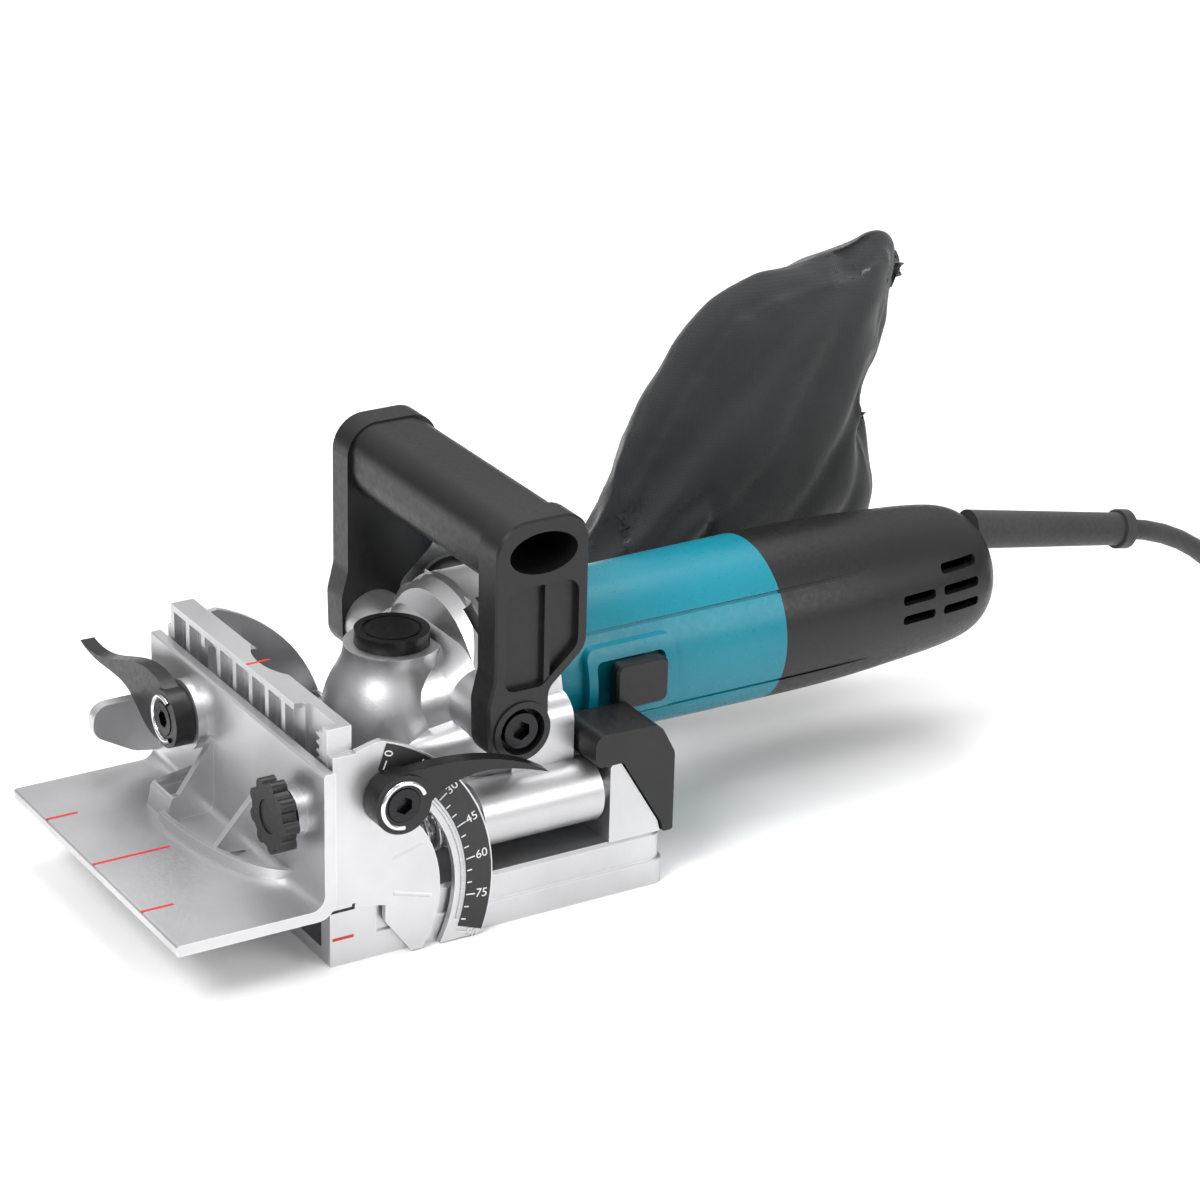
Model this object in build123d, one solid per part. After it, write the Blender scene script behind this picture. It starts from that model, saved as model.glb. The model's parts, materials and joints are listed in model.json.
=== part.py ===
from build123d import *
import os
from math import atan2, cos, degrees, pi, radians, sin, sqrt, tan

# Biscuit joiner. Millimetres. +Z up, +Y to the cord end, -Y to the fence, +X the operator's left.
# The origin is on the plane of the base's underside, under the blade's axis.

# --- base -------------------------------------------------------------------------------------
BASE_HALF_W = 59.4
BASE_FRONT = -55.4
BASE_REAR = 77.0
BASE_H = 20.0
BLADE_Z = 10.0
CAVITY_HALF_W = 53.0
COVER_T = 4.6
# --- carriage ---------------------------------------------------------------------------------
PLUNGE = 25.4
ROD_X = 48.0
ROD_Z = 38.0
ROD_R = 6.0
ROD_END = 60.0
SLEEVE_R = 11.5
SLEEVE_Y = (4.0, 51.0)
POST_Y = (-46.0, -32.0)
# place of each screw and height of its head's top
BRIDGE_SCREWS = ((38.2, 58.2, 42.0), (43.0, 68.0, 26.0))
STOP_X, STOP_Z = -28.0, 31.0
# --- motor ------------------------------------------------------------------------------------
AXIS_Z = 64.7
MOTOR_R = 30.0
MOTOR_Y = (46.0, 144.0)
COVER_END = 247.7
COLLAR_R = 39.0
COLLAR_Y = (8.0, 46.0)
HEAD_R = 25.0
# --- angle guide ------------------------------------------------------------------------------
PIVOT_Y = -56.4
PIVOT_Z = 23.0
GUIDE_Y = (-56.0, -47.0)
GUIDE_Z = (21.0, 88.0)
GUIDE_HALF_W = 59.2
RIB_BACK = -52.8
RACK_X = 56.2
PINION_BACK = -51.4
SECTOR_X = (60.0, 62.4)
SECTOR_R = 61.5
CLAMP_Y, CLAMP_Z = -34.0, 61.0
# --- fence ------------------------------------------------------------------------------------
FENCE_HALF_W = 66.1
FENCE_Y = (-60.6, -56.3)
FENCE_REACH = -114.8
PLATE_Z = (22.4, 26.5)
FENCE_TOP = 75.5
KNOB_X, KNOB_Z = 46.0, 54.5
PINION_PITCH_R, PINION_STEPS = 6.0, 12
LEVER_X, LEVER_Z = -33.0, 57.7
LEVER_FACE = -71.8
FENCE_LIFT = 20.0
NUT_R = 6.5
# --- blade and gears --------------------------------------------------------------------------
BLADE_R = 50.0
ARBOR_R = 11.0
GEAR_TEETH, PINION_TEETH = 36, 12
GEAR_R = 20.0
BEVEL_DEPTH = (0.9, 1.2)
BEVEL_INNER = 0.66
BUTTON_R = 13.2
BUTTON_Z = (84.6, 90.0)
PIN_AT = 11.5
# --- handle -----------------------------------------------------------------------------------
HANDLE_X = (46.6, 58.6)
HANDLE_Y = (7.5, 43.0)
GRIP_Y, GRIP_Z = (9.0, 42.0), (117.6, 146.0)
BOLT_Y, BOLT_Z = 18.0, 71.0
# --- dust bag ---------------------------------------------------------------------------------
PORT_Y, PORT_Z = 67.0, 60.6
BAG_X = (-88.0, -46.0)
# --- cord -------------------------------------------------------------------------------------
CORD_D = 7.8
GUARD_START = (0.0, 244.0, 79.5)
GUARD_END = (0.0, 320.0, 65.0)

os.makedirs("parts", exist_ok=True)


def bx(x0, x1, y0, y1, z0, z1):
    """A box between two corners, given in either order."""
    return Pos((x0 + x1) / 2, (y0 + y1) / 2, (z0 + z1) / 2) * Box(abs(x1 - x0), abs(y1 - y0), abs(z1 - z0))


def cz(x, y, z0, z1, r):
    return Pos(x, y, (z0 + z1) / 2) * Cylinder(r, abs(z1 - z0))


def cy(x, z, y0, y1, r):
    return Pos(x, (y0 + y1) / 2, z) * Rot(90, 0, 0) * Cylinder(r, abs(y1 - y0))


def cx(y, z, x0, x1, r):
    return Pos((x0 + x1) / 2, y, z) * Rot(0, 90, 0) * Cylinder(r, abs(x1 - x0))


def poly_x(points, x0, x1):
    """A plate whose (y, z) outline is swept from x0 to x1."""
    face = make_face(Polyline([(x0, y, z) for y, z in points], close=True))
    return extrude(face, amount=x1 - x0, dir=(1, 0, 0))


def poly_y(points, y0, y1):
    """A plate whose (x, z) outline is swept from y0 to y1."""
    face = make_face(Polyline([(x, y0, z) for x, z in points], close=True))
    return extrude(face, amount=y1 - y0, dir=(0, 1, 0))


def poly_z(points, z0, z1):
    """A plate whose (x, y) outline is swept from z0 to z1."""
    face = make_face(Polyline([(x, y, z0) for x, y in points], close=True))
    return extrude(face, amount=z1 - z0, dir=(0, 0, 1))


def turned_y(profile, z):
    """A solid turned about the line x=0 at height z from an (r, y) profile."""
    face = make_face(Polyline([(r, y, z) for r, y in profile], close=True))
    return revolve(face, Axis((0, 0, z), (0, 1, 0)), 360)


def turned_z(profile, x=0, y=0):
    """A solid turned about a vertical line from an (r, z) profile."""
    face = make_face(Polyline([(x + r, y, z) for r, z in profile], close=True))
    return revolve(face, Axis((x, y, 0), (0, 0, 1)), 360)


def arc_points(y, z, r, a0, a1, n):
    return [
        (y + r * cos(radians(a0 + (a1 - a0) * i / n)), z + r * sin(radians(a0 + (a1 - a0) * i / n)))
        for i in range(n + 1)
    ]


def mirror_x(s):
    return mirror(s, about=Plane.YZ)


def pair(s):
    return [s, mirror_x(s)]


def rounded_x(points, x0, x1, radius):
    """A plate with a rounded (y, z) outline, swept from x0 to x1."""
    face = make_face(FilletPolyline(*[(x0, y, z) for y, z in points], radius=radius, close=True))
    return extrude(face, amount=x1 - x0, dir=(1, 0, 0))


def rounded_y(points, y0, y1, radius):
    """A plate with a rounded (x, z) outline, swept from y0 to y1."""
    face = make_face(FilletPolyline(*[(x, y0, z) for x, z in points], radius=radius, close=True))
    return extrude(face, amount=y1 - y0, dir=(0, 1, 0))


def rounded_z(points, z0, z1, radius):
    """A plate with a rounded (x, y) outline, swept from z0 to z1."""
    face = make_face(FilletPolyline(*[(x, y, z0) for x, y in points], radius=radius, close=True))
    return extrude(face, amount=z1 - z0, dir=(0, 0, 1))


def section_y(y, half_w, z0, z1, radius):
    """A rounded rectangle across the tool at y, from z0 to z1."""
    outline = RectangleRounded(2 * half_w, z1 - z0, radius)
    return Plane(origin=(0, y, (z0 + z1) / 2), x_dir=(1, 0, 0), z_dir=(0, -1, 0)) * outline


def spun_y(outline, z):
    """A solid turned about the line x=0 at height z, its outside a smooth curve through (r, y) points."""
    (r0, y0), (r1, y1) = outline[0], outline[-1]
    curve = Spline(*[(r, y, z) for r, y in outline])
    back = Polyline((r1, y1, z), (0, y1, z), (0, y0, z), (r0, y0, z))
    return revolve(make_face([curve, back]), Axis((0, 0, z), (0, 1, 0)), 360)


def solids_of(shape):
    if isinstance(shape, (list, tuple)):
        return [one for s in shape for one in solids_of(s)]
    return list(shape.solids())


def save(name, *shapes):
    found = solids_of(list(shapes))
    export_step(Compound(children=found), f"parts/{name}.step")
    print(f"{name:24s} {len(found):3d} solids {sum(s.volume for s in found) / 1000:9.2f} cm3")


def hex_socket_bolt(length, r, head_r, head_h, socket=0.55):
    """A cap screw along +Z: the head's top at z=0, the shank below it."""
    head = Pos(0, 0, -head_h / 2) * Cylinder(head_r, head_h)
    shank = Pos(0, 0, -head_h - length / 2) * Cylinder(r, length)
    key = extrude(RegularPolygon(head_r * socket, 6), amount=-head_h * 0.6)
    return head + shank - key


def ring_y(x, z, y0, y1, r_out, r_in):
    return cy(x, z, y0, y1, r_out) - cy(x, z, y0 - 1, y1 + 1, r_in)


def ring_z(x, y, z0, z1, r_out, r_in):
    return cz(x, y, z0, z1, r_out) - cz(x, y, z0 - 1, z1 + 1, r_in)


def between(a, b, r0, r1=None):
    """A round bar, or a tapered one, from point a to point b."""
    axis = Vector(*b) - Vector(*a)
    bar = Cylinder(r0, axis.length) if r1 is None else Cone(r0, r1, axis.length)
    return Plane(origin=a, z_dir=axis.normalized()) * Pos(0, 0, axis.length / 2) * bar


# === base =====================================================================================
def base_housing():
    w, f = BASE_HALF_W, BASE_FRONT
    lower = rounded_z([(-w, f), (w, f), (w, BASE_REAR), (-w, BASE_REAR)], 0, 9.6, [0.6, 0.6, 5, 5])
    lower = chamfer(lower.faces().sort_by(Axis.Z)[-1].edges(), 0.5)
    v, rear = w - 0.9, BASE_REAR - 0.9
    upper = rounded_z([(-v, f), (v, f), (v, rear), (-v, rear)], 9.5, BASE_H, [2, 2, 5, 5])
    body = lower + chamfer(upper.faces().sort_by(Axis.Z)[-1].edges(), 1.2)
    body += bx(-w, w, f, -38, 9, BASE_H)
    body -= bx(-CAVITY_HALF_W, CAVITY_HALF_W, f - 1, 55, COVER_T + 0.4, 15)
    body -= bx(-CAVITY_HALF_W, CAVITY_HALF_W, -50, 62, -1, COVER_T + 0.5)
    body -= bx(-18, 18, -45, 19, 14, BASE_H + 1)
    # dust channel from the blade's chamber up to the bridge
    body -= bx(-30, 30, 40, 54, 14, BASE_H + 1)
    for side in (-1, 1):
        body += bx(side * 41, side * 58.2, *POST_Y, BASE_H - 0.5, 49)
        body += bx(side * 50.5, side * 59.4, *POST_Y, BASE_H - 0.5, 49)
        body += bx(side * 50.5, side * 59.4, POST_Y[0], CLAMP_Y + 7, 48.5, 68)
        # recess for the grip pad
        body -= bx(side * 14, side * 50, f - 1, f + 1.4, 15.6, 19.2)
        # seat for the cover's hinge ears
        body -= bx(side * 36, side * 46, 61, 69, -1, 6.5)
    body -= cx(65, 3.2, -52, 52, 1.55)
    for side in (-1, 1):
        body -= cy(side * ROD_X, ROD_Z, POST_Y[0] + 2, POST_Y[1] + 1, ROD_R)
        body -= cx(CLAMP_Y, CLAMP_Z, side * 49, side * 60, 2.6)
        for x, y, top in BRIDGE_SCREWS:
            body -= cz(side * x, y, 12, BASE_H + 1, 2.0)
    body += depth_post()
    # thread of the cover's screw and its tongue's notch
    body -= cz(0, -52.7, -1, 4.9, 1.75)
    body -= bx(-4, 4, -56, -49.9, -1, 2.4)
    return body


save("grip_pads", pair(bx(14.1, 49.9, BASE_FRONT - 0.2, BASE_FRONT + 1.4, 15.7, 19.1)))
save("guide_rods", pair(cy(ROD_X, ROD_Z, POST_Y[0] + 2, ROD_END, ROD_R)))


def spring(radius, wire, turns, height):
    """A coil spring that stands on z=0; wire is the wire's radius."""
    coil = Helix(pitch=height / turns, height=height, radius=radius)
    return sweep(Plane(origin=coil @ 0, z_dir=coil % 0) * Circle(wire), path=coil)


SPRING_Y = (POST_Y[1] + 1.4, SLEEVE_Y[0] - 1.4)
save("return_springs",
     pair(Pos(ROD_X, SPRING_Y[0], ROD_Z) * Rot(-90, 0, 0) * spring(8.2, 0.8, 7, SPRING_Y[1] - SPRING_Y[0])))


# === depth stop ===============================================================================
def depth_post():
    """Post on the base that carries the stop turret's screw."""
    return bx(-40.9, -21, POST_Y[0], -34, BASE_H - 0.5, 38) - cy(STOP_X, STOP_Z, -47, -33, 2.0)


def depth_turret():
    """Six steps round a disc: the first and the last let the blade out fully."""
    body = cy(STOP_X, STOP_Z, -33.6, -30, 10.3)
    for i, face in enumerate((-24.0, -20.0, -16.0, -12.0, -8.0, -24.0)):
        a = radians(90 + 60 * i)
        body += cy(STOP_X + 8 * cos(a) * 0.86, STOP_Z + 8 * sin(a) * 0.86, -30.5, face, 2.9)
    return body - cy(STOP_X, STOP_Z, -35, -5, 2.05)


save("depth_turret", depth_turret())
TURRET_SCREW = cy(STOP_X, STOP_Z, -45, -26, 2.0) + cy(STOP_X, STOP_Z, -29.8, -27, 3.4)
save("depth_stop_rod", cy(STOP_X, STOP_Z + 8 * 0.86, SLEEVE_Y[0] - 2.2, 34, 2.4))


def rear_bridge():
    body = bx(-34.6, 34.6, 54, 74, BASE_H, 31)
    wedge = rounded_x([(54, BASE_H), (54, 50), (58, 50), (73.6, 24), (74.6, BASE_H)], 34.4, 58.2, [0.5, 2, 2, 3, 0.5])
    body += wedge + mirror_x(wedge)
    body -= bx(-33, 33, 58.5, 71.5, 19, 28.5)
    for side in (-1, 1):
        body -= cy(side * ROD_X, ROD_Z, 53, ROD_END, ROD_R)
        for x, y, top in BRIDGE_SCREWS:
            body -= cz(side * x, y, 19, 51, 2.0)
            body -= cz(side * x, y, top - 4.1, 51, 3.6)
    return body


save("rear_bridge", rear_bridge())


def bridge_screws():
    screws = []
    for x, y, top in BRIDGE_SCREWS:
        one = hex_socket_bolt(top - 4 - 12.5, 1.98, 3.5, 4)
        screws += [Pos(side * x, y, top) * one for side in (-1, 1)]
    return screws


save("base_screws", bridge_screws(), TURRET_SCREW)


def dust_spout():
    """The black duct behind the bridge: closed at the operator's left, open to the bag."""
    lower = [(47, 50.4), (58.3, 50.4), (74.3, 24), (75.2, 20.1), (79, 20.1)]
    left = rounded_x(lower + [(79, 50), (73, 61.5), (47, 62.5)], 37.6, 59.6, [3, 2, 3, 0.4, 1, 5, 5, 4])
    duct = bx(-58, 58, 75.2, 79, 20.1, 31)
    right = rounded_x(lower + [(79, 62), (74, 71), (52, 71), (47, 62)], -59.6, -38.5, [3, 2, 3, 0.4, 1, 5, 5, 4, 4])
    port = cx(PORT_Y, PORT_Z, -68, -44, 9.5)
    body = left + duct + right + port
    return body - cx(PORT_Y, PORT_Z, -69, -46, 7.6)


save("dust_spout", dust_spout())


def bag_collar():
    """Sleeve pushed over the spout's port, with a rim that the bag's neck is tied behind."""
    body = cx(PORT_Y, PORT_Z, -82, -62, 11.6) + cx(PORT_Y, PORT_Z, -82, -80, 13.2)
    return body - cx(PORT_Y, PORT_Z, -68.2, -61, 9.5) - cx(PORT_Y, PORT_Z, -83, -60, 7.6)


def dust_bag():
    """Plain body of the cloth bag: a neck behind the collar and a tall sack beside the motor."""
    neck = [(PORT_Y - 14, 48), (PORT_Y - 14, 72), (PORT_Y - 6, 76), (104, 68), (104, 46), (80, 44)]
    sack = [(96, 46), (119, 84), (133, 115), (147, 136), (161, 153), (172, 164), (192, 172), (227, 177), (244, 182),
            (255, 178), (257, 165), (254, 146), (249, 130), (245, 113), (249, 98), (250, 69), (246, 54), (200, 44),
            (120, 40)]
    x0, x1 = BAG_X
    wide = poly_x(sack, x0 + 9, x1 - 9)
    thick = extrude(offset(make_face(Polyline([(x0, y, z) for y, z in sack], close=True)), -9), x1 - x0,
                    dir=(1, 0, 0))
    return poly_x(neck, -100, -82.1) + bx(-100, -78, 92, 104, 46, 62) + wide + thick


save("bag_collar", bag_collar())
save("dust_bag", dust_bag())


def blade_cover():
    body = bx(-52.6, 52.6, -49.6, 60.6, 0, COVER_T)
    for s in (-1, 1):
        body += bx(s * 36.4, s * 45.6, 58, 65, 0.6, COVER_T)
        body += cx(65, 3.2, s * 36.4, s * 45.6, 2.6)
    body -= cx(65, 3.2, -60, 60, 1.56)
    body += bx(-3.7, 3.7, -54.9, -49, 0, 2.2)
    return body - cz(0, -52.7, -1, 3, 1.65) - cz(0, -52.7, -1, 1.4, 3.0)


save("blade_cover", blade_cover())
save("cover_hinge_pin", cx(65, 3.2, -51, 51, 1.5))


save("base_housing", base_housing())
screw = hex_socket_bolt(2.8, 1.55, 2.9, 1.4)
save("cover_screw", Pos(0, -52.7, 0) * Rot(180, 0, 0) * screw)


# === angle guide ==============================================================================
def guide_ribs():
    places = [-FENCE_HALF_W + 8.5 + 12.2 * i for i in range(9)]
    return [bx(x - 1.3, x + 1.3, GUIDE_Y[0], RIB_BACK + 0.5, 60, GUIDE_Z[1]) for x in places if x < 37]


def angle_guide():
    w = GUIDE_HALF_W
    body = bx(-w, w, RIB_BACK, GUIDE_Y[1], *GUIDE_Z)
    body += bx(-w, w, *GUIDE_Y, GUIDE_Z[0], 60.5)
    for rib in guide_ribs():
        body += rib
    body += bx(-w, 35.6, GUIDE_Y[0], RIB_BACK + 0.5, GUIDE_Z[1] - 2.2, GUIDE_Z[1])
    body += bx(50.8, w, *GUIDE_Y, 60, GUIDE_Z[1])
    body -= bx(KNOB_X - 8.5, RACK_X, -57, PINION_BACK + 0.2, 30, 89)
    # the gear head's room behind the plate, at full plunge, and the clamp bolt's slot
    body -= cz(0, -PLUNGE, 44, 90, HEAD_R + 0.9)
    low, high = LEVER_Z - 4, LEVER_Z + FENCE_LIFT + 4
    body -= bx(LEVER_X - 3.3, LEVER_X + 3.3, -58, -46, low, high)
    body -= bx(LEVER_X - NUT_R - 0.6, LEVER_X + NUT_R + 0.6, -51.5, -46, low - 3.6, high + 3.6)
    return body


def far_slot(r, a0, a1, half, x0, x1):
    pts = arc_points(PIVOT_Y, PIVOT_Z, r + half, a0, a1, 24)
    pts += arc_points(PIVOT_Y, PIVOT_Z, r - half, a1, a0, 24)
    cut = poly_x(pts, x0, x1)
    for a in (a0, a1):
        y, z = PIVOT_Y + r * cos(radians(a)), PIVOT_Z + r * sin(radians(a))
        cut += cx(y, z, x0, x1, half)
    return cut


CLAMP_A = degrees(atan2(CLAMP_Z - PIVOT_Z, CLAMP_Y - PIVOT_Y))
SLOT_R = sqrt((CLAMP_Y - PIVOT_Y) ** 2 + (CLAMP_Z - PIVOT_Z) ** 2)


def sector():
    x0, x1 = SECTOR_X
    pts = [(-46.9, 23.2), (-46.9, 79.5), (-39.4, 81.3)]
    rim = arc_points(PIVOT_Y, PIVOT_Z, SECTOR_R, 72, -21.2, 30)
    pts += [p for p in rim if p[1] > 0.6]
    pts += [(-26, 0.6), (-36, 14.0), (-36, 20.4), (-44, 22.0)]
    body = poly_x(pts, x0, x1)
    # pressed ribs that stiffen the plate
    rib = x1 - 1.05
    body += between((rib, -34, 37), (rib, -22, 40.5), 1.3) + between((rib, -33, 24), (rib, -18.5, 19.6), 1.3)
    body -= far_slot(SLOT_R, CLAMP_A + 0.8, CLAMP_A - 90.8, 2.9, x0 - 1, x1 + 2)
    return body


save("angle_guide", angle_guide())
SECTOR = sector()
# foot that joins the sector to the end of the guide
foot = bx(GUIDE_HALF_W, SECTOR_X[0], -55.6, -47, 24, 79)
flange = bx(SECTOR_X[0], SECTOR_X[1], -55.6, -46.9, 24, 79)
save("angle_sectors", pair(SECTOR + foot + flange))


def scale_band():
    r0, r1 = SECTOR_R - 10.2, SECTOR_R - 0.6
    pts = arc_points(PIVOT_Y, PIVOT_Z, r1, 70, -20, 30) + arc_points(PIVOT_Y, PIVOT_Z, r0, -20, 70, 30)
    return poly_x(pts, SECTOR_X[1], SECTOR_X[1] + 0.3)


save("angle_scale", scale_band())


def rack():
    """Tooth bar on the guide for the fence's pinion."""
    root = RACK_X - 2.4
    bar = bx(root, RACK_X, -56.0, PINION_BACK, 32, 86)
    pitch = 2 * pi * PINION_PITCH_R / PINION_STEPS
    for i in range(17):
        z = KNOB_Z + (i - 6.5) * pitch
        tooth = [(root + 0.1, z - 0.9), (root - 2.1, z - 0.35), (root - 2.1, z + 0.35), (root + 0.1, z + 0.9)]
        bar += poly_y(tooth, -56, PINION_BACK)
    return bar


# === fence ====================================================================================
def fence():
    w = FENCE_HALF_W
    profile = [(FENCE_REACH, PLATE_Z[0]), (FENCE_Y[1], PLATE_Z[0]), (FENCE_Y[1], FENCE_TOP), (FENCE_Y[0], FENCE_TOP),
               (FENCE_Y[0], PLATE_Z[1]), (FENCE_REACH, PLATE_Z[1])]
    body = rounded_x(profile, -w, w, [1.2, 7, 0.9, 0.9, 5, 1.2])
    # curved rib that rings the knob's side of the plate
    rib = extrude(Ellipse(62, 24), amount=4) - extrude(Ellipse(60, 22), amount=4)
    body += (Pos(-19, -57, PLATE_Z[1] - 0.2) * rib) & bx(-19, 60, -90, -58, 20, 40)
    shelf = rounded_x([(-59, 26), (-79, 26), (-77, 35), (-59, 38)], -33, -17, [0.5, 0.5, 2, 0.5])
    body += shelf - bx(-30.5, -19.5, -76, -60.6, 33.5, 40)
    body += poly_x([(-60, 30), (-75, 34), (-60, 55)], -19.5, -17)
    body += poly_x([(-60, 26), (-77, 29), (-60, 48)], 13, 15.5)
    # cheek at the far end of the wall
    body += rounded_x([(-58, 31), (-70, 33), (-86, 42), (-85, 53), (-58, 53)], -w, -w + 4.5, [0.5, 8, 6, 6, 0.5])
    # bosses for the clamp lever and the knob
    body += cy(LEVER_X, LEVER_Z, -64.2, -60, 12.5)
    body += cy(KNOB_X, KNOB_Z, -64, -60, 8.6)
    body -= cy(LEVER_X, LEVER_Z, -67, -55, 3.0)
    body -= cy(KNOB_X, KNOB_Z, -65, -55, 3.05)
    return body


save("fence", fence())
save("guide_rack", rack())


def fence_marks():
    marks = [bx(-0.5, 0.5, FENCE_REACH, FENCE_REACH + 29, PLATE_Z[1], PLATE_Z[1] + 0.15)]
    for x in (-38.6, 38.6):
        marks.append(bx(x - 0.5, x + 0.5, FENCE_REACH, FENCE_REACH + 12, PLATE_Z[1], PLATE_Z[1] + 0.15))
    return marks


save("centre_marks", fence_marks())


def fence_knob():
    body = cy(KNOB_X, KNOB_Z, -71.5, -66.0, 11.2)
    for i in range(9):
        a = 2 * pi * i / 9
        body += cy(KNOB_X + 10.6 * cos(a), KNOB_Z + 10.6 * sin(a), -71.5, -66.0, 2.6)
    body += cy(KNOB_X, KNOB_Z, -66.2, -64.3, 7.0)
    body -= cy(KNOB_X, KNOB_Z, -70.0, -60.0, 2.95)
    body -= cy(KNOB_X, KNOB_Z, -72.0, -71.0, 6.0)
    return body


def fence_pinion():
    shaft = cy(KNOB_X, KNOB_Z, -70.0, PINION_BACK, 2.95)
    wheel = cy(KNOB_X, KNOB_Z, -55.8, PINION_BACK, 4.6)
    for i in range(PINION_STEPS):
        a = 2 * pi * i / PINION_STEPS
        u, v = cos(a), sin(a)
        half = [(4.4, -0.95), (6.9, -0.35), (6.9, 0.35), (4.4, 0.95)]
        wheel += poly_y([(KNOB_X + r * u - t * v, KNOB_Z + r * v + t * u) for r, t in half], -55.8, PINION_BACK)
    return shaft + wheel


save("fence_knob", fence_knob())
save("fence_pinion", fence_pinion())


def horn(upper, lower):
    """Face between two curves that meet at a lever's tip and a straight line across its root."""
    return make_face([Spline(*upper), Spline(*lower), Line(lower[-1], upper[0])])


def fence_lever():
    x, z = LEVER_X, LEVER_Z
    y = LEVER_FACE + 1.0
    upper = [(x - 1, y, z + 10.4), (x - 13, y, z + 13), (x - 37, y, z + 7.6), (x - 72, y, z + 1.4)]
    lower = [upper[-1], (x - 46, y, z - 0.4), (x - 30, y, z - 2.0), (x - 20, y, z - 8), (x - 3, y, z - 9.9)]
    body = cy(x, z, LEVER_FACE, -64.6, 10.5) + extrude(horn(upper, lower), amount=5.6, dir=(0, 1, 0))
    body -= cy(x, z, -80, -60, 3.2)
    return body - cy(x, z, -80, LEVER_FACE + 4, 6.2)


def fence_bolt():
    bolt = hex_socket_bolt(-47.6 - LEVER_FACE - 4.3, 2.9, 5.9, 4.0)
    return Pos(LEVER_X, LEVER_FACE - 0.3, LEVER_Z) * Rot(90, 0, 0) * bolt


save("fence_lever", fence_lever())
save("fence_bolt", fence_bolt(), ring_y(LEVER_X, LEVER_Z, -51.1, -47.6, NUT_R, 2.9))


def angle_lever():
    y, z = CLAMP_Y, CLAMP_Z
    x = 64.8
    upper = [(x, y - 2, z + 10.3), (x, y + 15, z + 11), (x, y + 38, z + 7.6), (x, y + 56, z - 1)]
    lower = [upper[-1], (x, y + 38, z + 4.2), (x, y + 25, z + 4.6), (x, y + 13, z), (x, y + 6, z - 8.4)]
    body = cx(y, z, 62.8, 71.5, 10.5) + extrude(horn(upper, lower), amount=5.6, dir=(1, 0, 0))
    body -= cx(y, z, 60, 80, 3.2)
    return body - cx(y, z, 67.5, 80, 6.2)


def angle_bolt():
    return Pos(71.8, CLAMP_Y, CLAMP_Z) * Rot(0, 90, 0) * hex_socket_bolt(17.3, 2.58, 5.9, 4.0)


save("angle_lever", angle_lever())
stud = cx(CLAMP_Y, CLAMP_Z, -66.5, -50.5, 2.58) + cx(CLAMP_Y, CLAMP_Z, -66.5, -62.7, 5.5)
save("clamp_bolts", angle_bolt(), stud)


# === gear housing and handle ==================================================================
def housing_shell():
    """Outside of the casting: a bell round the gears, shoulders, the fan's collar and the handle's feet."""
    profile = [(HEAD_R, 0, 46), (HEAD_R - 0.2, 0, 57), (24, 0, 65), (21, 0, 73), (18, 0, 79), (17, 0, 85)]
    bell = revolve(make_face([Spline(*profile), Polyline(profile[-1], (0, 0, 85), (0, 0, 46), profile[0])]),
                   Axis.Z, 360)
    shoulders = loft([section_y(-6, 20, 47, 73, 9), section_y(8, 29, 46.5, 80, 12), section_y(16, 34, 46, 88, 16),
                      section_y(22, 37, 45, AXIS_Z + 37, 24)], ruled=True)
    skirt = loft([section_y(-10, 22, 46, 55, 4), section_y(6, 38, 46, 64, 6), section_y(22, 46.4, 46, 72, 8)])
    collar = turned_y([(0, 16), (34.5, 16), (38, 20.5), (COLLAR_R, 23), (COLLAR_R, COLLAR_Y[1]), (0, COLLAR_Y[1])],
                      AXIS_Z)
    feet = rounded_y([(-46.4, 46), (46.4, 46), (46.4, 72), (-46.4, 72)], 21.5, COLLAR_Y[1], [4, 4, 9, 9])
    return bell + shoulders + skirt + collar + feet


def vents():
    """Slots round the collar into the fan's chamber, a long pair and their short ends on each side."""
    cuts = []
    for y, spans in ((19.5, ((30, 66),)), (25.0, ((26, 58), (62, 70))), (30.5, ((16, 24), (34, 66)))):
        for a0, a1 in spans:
            arc = arc_points(0, AXIS_Z, 46, a0, a1, 8) + arc_points(0, AXIS_Z, 30, a1, a0, 8)
            cuts += pair(poly_y(arc, y, y + 3.0))
    return cuts


def gear_housing():
    body = housing_shell()
    body += bx(-48, 48, 6, 46, 34.5, 47)
    for s in (-1, 1):
        body += cx(BOLT_Y, BOLT_Z, s * 30, s * 46.4, 12)
        body += cy(s * ROD_X, ROD_Z, *SLEEVE_Y, SLEEVE_R)
    body += cz(0, 0, 22, 48, 15.5)
    # room for the gears, the bearings and the fan
    body -= cz(0, 0, 47.5, 62.5, 22.6)
    body -= cy(0, AXIS_Z, 6.0, 24, 10.0)
    body -= cy(0, AXIS_Z, 34, 47, 14.0)
    body -= cy(0, AXIS_Z, 20, 35, 6.0)
    body -= cy(0, AXIS_Z, 45.0, 50, 28.0)
    body -= ring_y(0, AXIS_Z, 18.5, 42, 33, 24.5) + ring_y(0, AXIS_Z, 41, 46.5, 27.5, 18)
    body -= cz(0, 0, 40, 81, 6.6)
    body -= cz(0, 0, 72.0, 80.0, 8.0)
    body -= cz(0, 0, 21, 48, 7.4)
    body -= cz(0, 0, 24, 47.6, 13.0)
    body -= cz(0, 0, 80.4, 110, BUTTON_R + 0.1)
    body -= cz(-PIN_AT, 0, 59, 82, 1.85)
    # room for the turret's longer steps, and the stop rod's bore
    body -= cy(STOP_X, STOP_Z, 5, 19, 10.4)
    body -= cy(STOP_X, STOP_Z + 8 * 0.86, 0, 34, 2.4)
    for cut in vents():
        body -= cut
    for s in (-1, 1):
        body -= cy(s * ROD_X, ROD_Z, 0, 60, ROD_R + 0.05)
        body -= cx(BOLT_Y, BOLT_Z, s * 31, s * 47, 2.98)
    return body


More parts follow.
